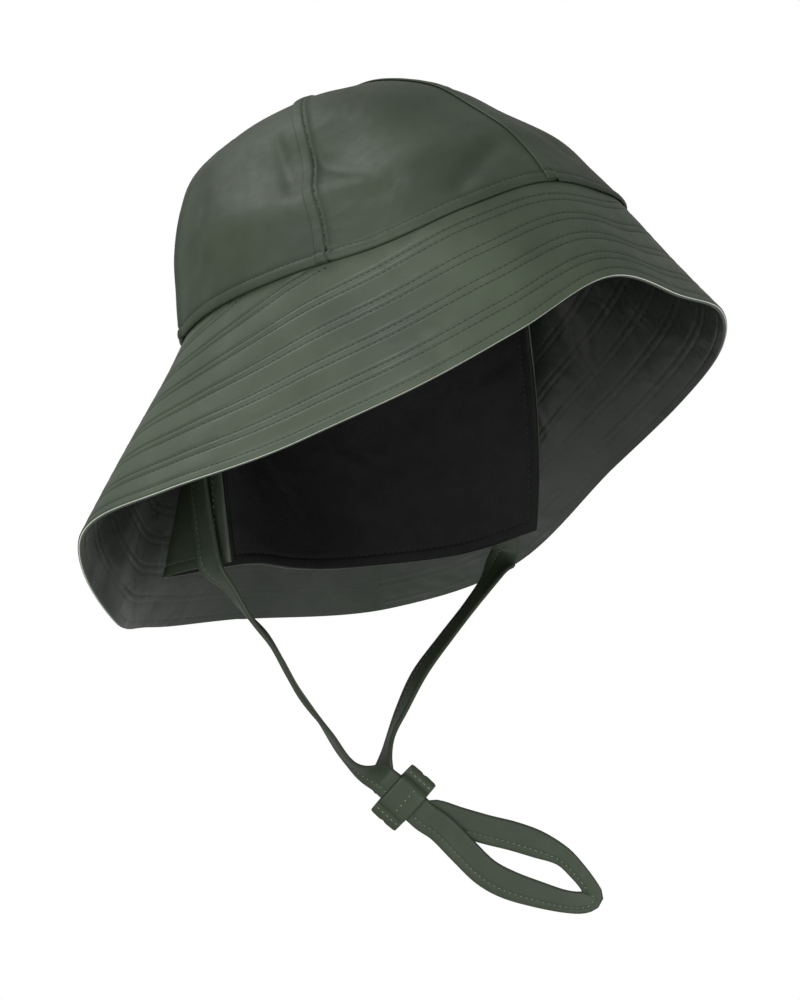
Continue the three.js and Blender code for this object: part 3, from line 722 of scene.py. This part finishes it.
def gore(number):
    """Cloth of one gore and its stitch lines: the lap over the gore before it, the body, the tucked side."""
    span = 360 / GORE_COUNT
    start = number * span
    hem_levels = np.array([0, 0.012, 0.03, 0.06, 0.1, 0.14, 0.18, 0.205, 0.225, 0.245, 0.27, 0.31, 0.37])
    levels = np.concatenate([hem_levels, np.linspace(0.45, 6, 56)])
    lap_places = np.array([0, 0.12, 0.35, 0.8, 1.6, 2.6, 3.5, 4.0, 4.3, 4.6, 4.9, 5.3, 6.0, 7.0])
    level = levels[:, None]
    turn = along(CROWN_LEVELS, "turn", level)
    reach = along(CROWN_LEVELS, "reach", level)
    radius = reach * (SEAM_HALF_WIDTH + SEAM_HALF_DEPTH) / 2
    taper = np.minimum(1, 0.12 + 2 * reach)
    degrees = np.degrees(1 / radius)
    lap = lap_places[None, :] * taper * degrees
    first = (LAP_WIDTH + RAMP_WIDTH) * taper * degrees
    share = np.linspace(0, 1, 44)[None, 1:]
    body = first + (span - first) * share
    tail = span + np.array([0.4, 0.98])[None, :] * (LAP_WIDTH - GAP) * taper * degrees
    place = np.concatenate([lap, body, tail], 1)
    bearing = start + place + turn
    millimetres = place / (degrees * taper)
    ramp = 1 - smooth((millimetres - LAP_WIDTH) / RAMP_WIDTH)
    puff = 0.1 * np.sin(np.clip(millimetres / LAP_WIDTH, 0, 1) * np.pi)
    topstitch = GROOVE_DEPTH * groove(millimetres - LAP_STITCH)
    rounded = 0.25 * np.exp(-millimetres / 0.15)
    up = level * LEVEL_RISE
    hem = 0.3 * np.sin(np.clip(up / HEM_STITCH, 0, 1) * np.pi) - GROOVE_DEPTH * groove(up - HEM_STITCH)
    hem = hem - 0.6 * np.exp(-up / 0.2)
    fine = crown_relief(bearing, level)
    # puckers where the seam pulls the cloth
    pucker = 0.12 * np.sin(level * 21 + number) * np.exp(-(((millimetres - 8) / 4) ** 2))
    shown = 1 - smooth((place - span) / 0.4)
    lift = LAP_RISE * ramp + (puff - topstitch - rounded) * (place < first) + (fine + hem + pucker) * shown
    level = np.broadcast_to(level, bearing.shape)
    outer = crown_point(bearing, level, CROWN_WALL + lift)
    inner = crown_point(bearing, level, (CROWN_WALL + GAP) * ramp + fine * shown * 0.9)
    # the six gores close on the crown's axis
    axis = np.array([0, CROWN_LEVELS[-1]["back"] * SEAM_HALF_DEPTH])
    for grid in (outer, inner):
        grid[-1, :, :2] = axis + 0.1 * (grid[-1, :, :2] - axis)
    points, faces, zones = closed_shell(outer, inner)
    name = f"gore_{number + 1}_cloth"
    cloth = mesh_object(name, points, faces, [crown_cloth, lining_cloth], zones)
    middle = crown_normal(bearing, level)
    line = int(np.argmin(np.abs(lap_places - LAP_STITCH)))
    hem_line = int(np.argmin(np.abs(levels * LEVEL_RISE - HEM_STITCH)))
    reach_top = int(np.argmin(np.abs(levels - 5.7)))
    up_the_lap, round_the_hem = slice(4, reach_top), slice(0, -2)
    lines = [
        (outer[up_the_lap, line], middle[up_the_lap, line]),
        (outer[hem_line, round_the_hem], middle[hem_line, round_the_hem]),
    ]
    return cloth, lines


crown_lines = []
for number in range(GORE_COUNT):
    cloth, lines = gore(number)
    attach(cloth, "root")
    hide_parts(f"crown_gore_{number + 1}")
    crown_lines += lines
crown_stitches = stitch_object("crown_stitches", crown_lines, thread)
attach(crown_stitches, "root")


# Brim: twin rows of stitches that follow the rim and an edge stitch, dark as painted shade of their grooves,
# and a pale band along the rim

BRIM_COLUMNS = 432


def row_pitch(bearing):
    """Distance between the stitched rows, closer together at the front."""
    return ROW_PITCH * (1.05 - 0.25 * np.exp(-(((wrapped(bearing) - 5) / 24) ** 2)))


def brim_frame(bearing):
    """Slant, droop, directions and bend of the brim's section at a bearing."""
    slant = BRIM_WIDTH * along(BRIM_SECTIONS, "slant", bearing, 360)
    droop = np.radians(along(BRIM_SECTIONS, "droop", bearing, 360))[..., None]
    out = outward(bearing)
    down = out * np.cos(droop) - UP * np.sin(droop)
    above = out * np.sin(droop) + UP * np.cos(droop)
    bend = seam_point(bearing) - out * GAP - UP * GAP
    return slant, droop, out, down, above, bend


def brim_relief(bearing, from_rim, slant):
    """Height of the stitched surface above the plain one."""
    pitch = row_pitch(bearing)
    k = np.maximum(np.round(from_rim / pitch), 1)
    off = from_rim - k * pitch
    sewn = smooth((slant - k * pitch) / 2)
    lines = groove(off - TWIN_HALF) + groove(off + TWIN_HALF)
    relief = sewn * (WELT_RISE * np.exp(-(off**2)) - GROOVE_DEPTH * lines)
    puff = PUFF_RISE * np.cos(np.clip(off / pitch, -0.5, 0.5) * 2 * np.pi + np.pi)
    relief = relief + puff * sewn * smooth((from_rim - EDGE_STITCH) / 2)
    return relief - GROOVE_DEPTH * groove(from_rim - EDGE_LINE)


def brim_wave(bearing, from_rim, slant):
    """Gentle waves of the whole brim, the same on both faces."""
    turned = wrapped(bearing)
    swing = smooth((slant - from_rim) / 25)
    wave = ripple(np.radians(turned) * 2.0, from_rim / 45, 11, low=1.0, high=3.2)
    fold = crease(turned, from_rim, (21, 50), (14, 14), 6, fade=0.5)
    return (wave - 0.7 * fold) * swing


def brim_rows(offsets):
    """Rows of a face's grid: places near the rim, then round each stitched row and between the rows."""
    rows = [("mm", at) for at in (0.35, 0.7, 1.3, 2.0, 2.7, 3.1, 3.5, 3.9, 4.4, 5.2, 6.1)]
    for k in range(1, ROW_COUNT + 1):
        rows += [(k, off) for off in offsets]
        rows.append((k + 0.5, 0))
    return rows


BRIM_TOP = brim_rows((-3.2, -2.3, -1.95, -1.6, -1.25, -0.6, 0, 0.6, 1.25, 1.6, 1.95, 2.3, 3.2))
BRIM_UNDER = brim_rows((-3.2, -2.2, -1.6, -1.0, 0, 1.0, 1.6, 2.2, 3.2))


def brim_face(rows, side):
    """Grid of one face of the brim from near the rim to the top of the tucked strip."""
    bearing = np.arange(BRIM_COLUMNS)[None, :] * 360 / BRIM_COLUMNS
    slant, droop, out, down, above, bend = brim_frame(bearing)
    pitch = row_pitch(bearing)
    from_rim = np.concatenate(
        [np.full_like(pitch, at) if k == "mm" else k * pitch + at for k, at in rows]
    )
    top = from_rim.max(axis=0, keepdims=True) + 0.5
    spare = slant - 1
    tucked = spare + (1 + BRIM_TUCK) * (from_rim - spare) / (top - spare)
    from_rim = np.where(from_rim > spare, np.minimum(from_rim, tucked), from_rim)
    slant = np.broadcast_to(slant, from_rim.shape)
    here = np.broadcast_to(bearing, from_rim.shape)
    relief = brim_relief(here, from_rim, slant) * (1 if side > 0 else UNDER_RELIEF)
    wave = brim_wave(here, from_rim, slant)
    seam = 0
    if side < 0:
        # the welted seam at the centre back
        arc = np.radians(here - 180) * (SEAM_HALF_DEPTH + (slant - from_rim) * 0.6)
        seam = 0.4 * np.exp(-((np.abs(arc) / 1.1) ** 4)) - 0.2 * groove(arc, 0.3)
    height = (relief + seam) * side + wave - (BRIM_WALL if side < 0 else 0)
    on_slope = bend + down * (slant - from_rim)[..., None] + above * height[..., None]
    level = BRIM_TUCK / LEVEL_RISE
    depth = -GAP if side > 0 else -GAP - BRIM_WALL
    strip_top = crown_point(bearing, np.full_like(bearing, level), depth)
    corner = bend if side > 0 else bend - (out + above) * BRIM_WALL / (1 + np.sin(droop))
    share = np.clip((from_rim - slant) / BRIM_TUCK, 0, 1)[..., None]
    in_strip = corner + (strip_top - corner) * share
    return np.where((from_rim < slant)[..., None], on_slope, in_strip)


def brim_rim():
    """Rows round the rim from the top face to the under face: the pale band is in the middle."""
    bearing = np.arange(BRIM_COLUMNS)[None, :] * 360 / BRIM_COLUMNS
    slant, _, _, down, above, bend = brim_frame(bearing)
    profile = [(0.12, -0.1), (0.02, -0.3), (0, -0.5), (-0.02, -0.9), (0.02, -1.5), (0.12, -1.88)]
    rows = []
    for at, height in profile:
        wave = brim_wave(bearing, np.full_like(bearing, at), slant)
        rows.append(bend + down * (slant - at)[..., None] + above * (wave + height)[..., None])
    return np.concatenate(rows)


top_face = brim_face(BRIM_TOP, 1)
under_face = brim_face(BRIM_UNDER, -1)
loops = np.concatenate([top_face[::-1], brim_rim(), under_face])
count = len(loops)
brim_faces = tube_faces(count, BRIM_COLUMNS)[:, ::-1]
row_of_face = np.repeat(np.arange(count), BRIM_COLUMNS)
pale = len(top_face) + 2
brim_zones = np.where(row_of_face == pale, 1, np.where(row_of_face > pale + 1, 2, 0))
brim_layers = [brim_cloth, pale_rim_band, brim_inside_painted_shade]
brim = mesh_object("brim_cloth_shell", loops.reshape(-1, 3), brim_faces, brim_layers, brim_zones)
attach(brim, "root")
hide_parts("brim")


def brim_lines(side):
    """Stitch lines on one face of the brim."""
    bearing = np.linspace(0, 360, 1441)
    slant, _, _, down, above, bend = brim_frame(bearing)
    lines = []
    rows = [(0, EDGE_LINE)]
    rows += [(k, off) for k in range(1, ROW_COUNT + 1) for off in (-TWIN_HALF, TWIN_HALF)]
    for k, off in rows:
        from_rim = k * row_pitch(bearing) + off
        relief = brim_relief(bearing, from_rim, slant) * (1 if side > 0 else UNDER_RELIEF)
        height = relief * side + brim_wave(bearing, from_rim, slant) - (BRIM_WALL if side < 0 else 0)
        path = bend + down * (slant - from_rim)[:, None] + above * height[:, None]
        shown = from_rim < slant - (1.2 if side > 0 else 3.5)
        edges = np.flatnonzero(np.diff(np.concatenate([[False], shown, [False]]).astype(int)))
        for a, b in zip(edges[::2], edges[1::2]):
            if b - a > 8:
                lines.append((path[a:b], above[a:b] * side))
    return lines


# The brim's top stitches are dark beads, painted as the shade in their grooves
brim_stitches = stitch_object("brim_stitches", brim_lines(1), row_thread_painted_shade, ROW_STITCH_WIDTH, ROW_STITCH_LENGTH)
under_stitches = stitch_object("brim_under_stitches", brim_lines(-1), dark_thread)
for piece in (brim_stitches, under_stitches):
    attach(piece, "root")


# Flap: green outside and black inside, hemmed round its three free sides


def flap_folds(across, drop):
    """Soft hanging folds, inwards only, so that the flap stays clear of the strap."""
    swell = 0.5 + 0.5 * ripple(across * 9, drop * 1.2, 21, low=1.0, high=3.0)
    return -FOLD_DEPTH * np.clip(swell, 0, 1.3) * smooth(drop / 0.35)


def flap_face(out, seed):
    """Grid of one face of the flap, with closer rows and columns round its stitched hems."""
    side = np.array([0, 0.004, 0.012, 0.02, 0.028, 0.034, 0.042])
    across = np.concatenate([side, np.linspace(0.06, 0.94, 90), 1 - side[::-1]])[None, :]
    hem_drops = [0.915, 0.93, 0.94, 0.948, 0.953, 0.958, 0.966, 0.98, 0.994, 1]
    drop = np.concatenate([np.linspace(0, 0.9, 52), hem_drops])[:, None]
    arc = np.minimum(across, 1 - across) * FLAP_ROUND
    down = (1 - drop) * FLAP_DEPTH
    hem = np.minimum(arc, down)
    seam = 0.35 * np.sin(np.clip(hem / FLAP_HEM_STITCH, 0, 1) * np.pi)
    seam = seam - GROOVE_DEPTH * groove(hem - FLAP_HEM_STITCH)
    sign = 1 if out >= -FLAP_WALL / 2 else -1
    height = out + flap_folds(across, drop) + sign * seam * 0.6
    height = height + 0.12 * ripple(across * 30, drop * 12, seed, low=1, high=3)
    return flap_point(across, drop, height), across


def flap_top(out):
    """Row of the flap's edge that is sewn in above the brim's bend."""
    across = flap_face(out, 1)[1]
    level = FLAP_TUCK / LEVEL_RISE
    bearing = along(FLAP_SECTIONS, "top", across)
    return crown_point(bearing, np.full_like(bearing, level), -2 * GAP - BRIM_WALL + out)


def flap_piece(name, near, far, material, seed):
    """One layer of the flap, between two distances from the flap's outer face."""
    outer = np.concatenate([flap_top(near), flap_face(near, seed)[0]])
    inner = np.concatenate([flap_top(far), flap_face(far, seed + 1)[0]])
    points, faces, _ = closed_shell(outer[:, ::-1], inner[:, ::-1])
    return mesh_object(name, points, faces, [material])


LINING_NEAR, LINING_FAR = -FLAP_WALL - GAP, -2 * FLAP_WALL - GAP
flap_shell = flap_piece("flap_shell_cloth", 0, -FLAP_WALL + 0.3, flap_cloth, 31)
flap_lining = flap_piece("flap_lining_cloth", LINING_NEAR + 0.2, LINING_FAR, lining_cloth, 33)
for piece, node, slot in ((flap_shell, "flap_shell", "flap_cloth"), (flap_lining, "flap_lining", "lining")):
    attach(piece, "root")
    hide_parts(node)


def flap_lines(out, sign):
    """Stitch lines round the free edges on one face of the flap."""
    shift = FLAP_HEM_STITCH / FLAP_ROUND
    low = 1 - FLAP_HEM_STITCH / FLAP_DEPTH
    drops = np.linspace(0.1, low, 60)
    around = np.linspace(shift, 1 - shift, 160)
    near_side = (np.full_like(drops, shift), drops)
    far_side = (np.full_like(drops, 1 - shift), drops)
    lines = []
    for across, drop in (near_side, (around, np.full_like(around, low)), far_side):
        path = flap_point(across, drop, out + flap_folds(across, drop) - sign * 0.1)
        lines.append((path, outward(along(FLAP_SECTIONS, "top", across)) * sign))
    return lines


flap_stitches = stitch_object("flap_stitches", flap_lines(0, 1), thread)
lining_stitches = stitch_object("lining_stitches", flap_lines(LINING_FAR, -1), dark_thread)
for piece, slot in ((flap_stitches, "flap_cloth"), (lining_stitches, "lining")):
    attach(piece, "root")


# Chin strap: a folded band with rounded edges and one line of stitches


def strap_object():
    """The band, the line of its stitches, that line's normals and the band's length."""
    middle, edge, face, wide, length = strap_frames(STRAP_STEP)
    half, thick = STRAP_WIDTH / 2, STRAP_WALL / 2
    run = np.linspace(0, length, len(middle))
    # the tail is folded over at its far end, so the stitches change sides there
    far = run[int(np.argmax((middle - KEEPER_CENTRE) @ TAIL_RIGHT))]
    line = SEAM_SHARE * (2 * smooth((run - far) / 8 + 0.5) - 1)
    places = np.concatenate([[-1], np.linspace(-0.97, 0.97, 25)])
    sway = STRAP_SWAY * ripple(run / 9, run * 0, 41, low=0.6, high=2.4)
    rings = []
    for side in (1, -1):
        for a in places * side:
            body = np.sqrt(1 - abs(a) ** 12)
            sewn = groove((a - line) * half * wide, 0.45)
            rise = side * body * (thick - STRAP_GROOVE * sewn) + sway * (1 - a * a)
            rings.append(middle + edge * (a * half * wide)[:, None] + face * rise[:, None])
    grid = np.stack(rings, 1)
    rows, columns = grid.shape[:2]
    start = [list(range(columns))[::-1]]
    end = [[(rows - 1) * columns + c for c in range(columns)]]
    faces = grid_faces(rows, columns, ring=True).tolist() + start + end
    seam = middle + edge * (line * half * wide)[:, None] + face * sway[:, None]
    return mesh_object("strap_cloth_band", grid.reshape(-1, 3), faces, [strap_cloth]), seam, face, length


strap, strap_seam, face, strap_length = strap_object()
sewn_in = STRAP_WALL / 2 - STRAP_GROOVE
strap_lines = [(strap_seam + face * sewn_in, face), (strap_seam - face * sewn_in, -face)]
strap_stitches = stitch_object("strap_stitches", strap_lines, strap_thread, STRAP_STITCH_WIDTH)
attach(strap, "root")
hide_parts("chin_strap")
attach(strap_stitches, "root")


# Keeper: a sewn sleeve with flat tabs, a line of stitches across its top and one on each tab


def four_ways(quarter):
    """Closed section from the points of its first quarter, as (aside, rise), from the side to the middle."""
    upper = quarter + [(-a, b) for a, b in quarter[-2::-1]]
    return np.array(upper + [(a, -b) for a, b in upper[::-1]])


def keeper_object():
    """The sleeve and its stitches."""
    hole_half = STRAP_WIDTH / 2 + GAP
    hole_rise = STRAP_WALL + 2 * GAP
    outline = four_ways([
        (KEEPER_ACROSS / 2, 0.15), (KEEPER_ACROSS / 2 - 0.3, 0.8), (hole_half + 3.2, 0.95),
        (hole_half + 2.0, 1.0), (hole_half + 1.4, 1.9), (hole_half + 0.6, 3.2),
        (hole_half - 1.2, hole_rise + 0.95), (2.2, hole_rise + 1.05), (0, hole_rise + 1.1),
    ])
    inner = four_ways([
        (hole_half, 0.4), (hole_half, 1.2), (hole_half, 2.0), (hole_half - 0.2, hole_rise - 0.1),
        (5, hole_rise), (3.5, hole_rise), (2.2, hole_rise), (1.0, hole_rise), (0, hole_rise),
    ])
    half = KEEPER_ALONG / 2
    # places along the sleeve and the share of the wall there: rounded ends, a shallow waist
    first_half = [(-half, 0.55), (-half + 0.15, 0.95), (-half + 1.2, 1), (-1.5, 1.02)]
    stations = first_half + [(0, 0.96)] + [(-at, share) for at, share in first_half[::-1]]
    front = np.cross(KEEPER_RUN, KEEPER_EDGE)

    def ring(at, section):
        aside, rise = np.outer(section[:, 0], KEEPER_EDGE), np.outer(section[:, 1], front)
        return KEEPER_CENTRE + KEEPER_RUN * at + aside + rise

    rings = [ring(at, inner + (outline - inner) * share) for at, share in stations]
    rings += [ring(at, inner) for at in (half, 0, -half)]
    grid = np.array(rings)
    obj = mesh_object("keeper_sleeve", grid.reshape(-1, 3), tube_faces(*grid.shape[:2]), [strap_cloth])

    lines = []
    reach = np.linspace(-hole_half, hole_half, 24)
    for sign in (1, -1):
        above = front * sign * (hole_rise + 1.12)
        path = KEEPER_CENTRE + KEEPER_RUN + np.outer(reach, KEEPER_EDGE) + above
        lines.append((path, np.tile(front * sign, (len(reach), 1))))
    at = np.linspace(-half + 0.6, half - 0.6, 20)
    tab_stitch = hole_half + 3.6
    for aside in (tab_stitch, -tab_stitch):
        for sign in (1, -1):
            path = KEEPER_CENTRE + np.outer(at, KEEPER_RUN) + KEEPER_EDGE * aside + front * sign
            lines.append((path, np.tile(front * sign, (len(at), 1))))
    return obj, stitch_object("keeper_stitches", lines, strap_thread, STRAP_STITCH_WIDTH)


keeper, keeper_stitches = keeper_object()
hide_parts("keeper")
for piece in (keeper, keeper_stitches):
    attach(piece, "root")


# Floor, light and camera

FLOOR_RADIUS = 3.4
FLOOR_LEVEL = -1.1
turns = np.linspace(0, 2 * np.pi, 97)[:-1]
floor_rim = [(FLOOR_RADIUS * np.cos(t), FLOOR_RADIUS * np.sin(t), FLOOR_LEVEL) for t in turns]
paint = bpy.data.materials.new("floor")
paint.use_nodes = True
paint_shader = paint.node_tree.nodes["Principled BSDF"]
paint_shader.inputs["Base Color"].default_value = (0.85, 0.85, 0.84, 1)
paint_shader.inputs["Roughness"].default_value = 0.9
floor_mesh = bpy.data.meshes.new("floor")
floor_mesh.from_pydata(floor_rim, [], [tuple(range(len(floor_rim)))])
floor_mesh.materials.append(paint)
floor = bpy.data.objects.new("floor", floor_mesh)
bpy.context.collection.objects.link(floor)

world = bpy.data.worlds.new("studio")
world.use_nodes = True
sky = world.node_tree
seen = sky.nodes["Background"]
ambient = sky.nodes.new("ShaderNodeBackground")
for glow, strength in ((seen, 1.0), (ambient, 0.35)):
    glow.inputs["Color"].default_value = (1, 1, 1, 1)
    glow.inputs["Strength"].default_value = strength
rays = sky.nodes.new("ShaderNodeLightPath")
choose = sky.nodes.new("ShaderNodeMixShader")
sky.links.new(rays.outputs["Is Camera Ray"], choose.inputs["Fac"])
sky.links.new(ambient.outputs["Background"], choose.inputs[1])
sky.links.new(seen.outputs["Background"], choose.inputs[2])
sky.links.new(choose.outputs["Shader"], sky.nodes["World Output"].inputs["Surface"])
bpy.context.scene.world = world
bpy.context.scene.view_settings.view_transform = "Standard"

CENTRE = Vector((0, 0.02, -0.05))


def area_light(name, place, size, energy):
    light = bpy.data.lights.new(name, "AREA")
    light.shape = "DISK"
    light.size = size
    light.energy = energy
    obj = bpy.data.objects.new(name, light)
    bpy.context.collection.objects.link(obj)
    obj.location = place
    obj.rotation_euler = (CENTRE - Vector(place)).to_track_quat("-Z", "Y").to_euler()


area_light("key", (-1.5, -1.1, 0.8), 1.0, 19.5)
area_light("top", (-0.3, 0.4, 1.5), 1.0, 9)
area_light("low", (-0.4, -1.3, -0.9), 0.7, 7)
area_light("side", (-1.6, -0.3, -0.1), 0.7, 4)

# The camera's place, the point that it looks at and its upward direction
EYE = Vector((-0.6894, -0.8294, -0.2089))
AIM = Vector((-0.0101, 0.0291, -0.0823))
LEAN = Vector((0.1061, -0.3249, 0.9399))
camera_data = bpy.data.cameras.new("camera")
camera_data.lens = 100
camera_data.sensor_width = 36
camera = bpy.data.objects.new("camera", camera_data)
bpy.context.collection.objects.link(camera)
back = (EYE - AIM).normalized()
upright = (LEAN - back * LEAN.dot(back)).normalized()
across = upright.cross(back)
camera.matrix_world = Matrix.Translation(EYE) @ Matrix((across, upright, back)).transposed().to_4x4()
bpy.context.scene.camera = camera
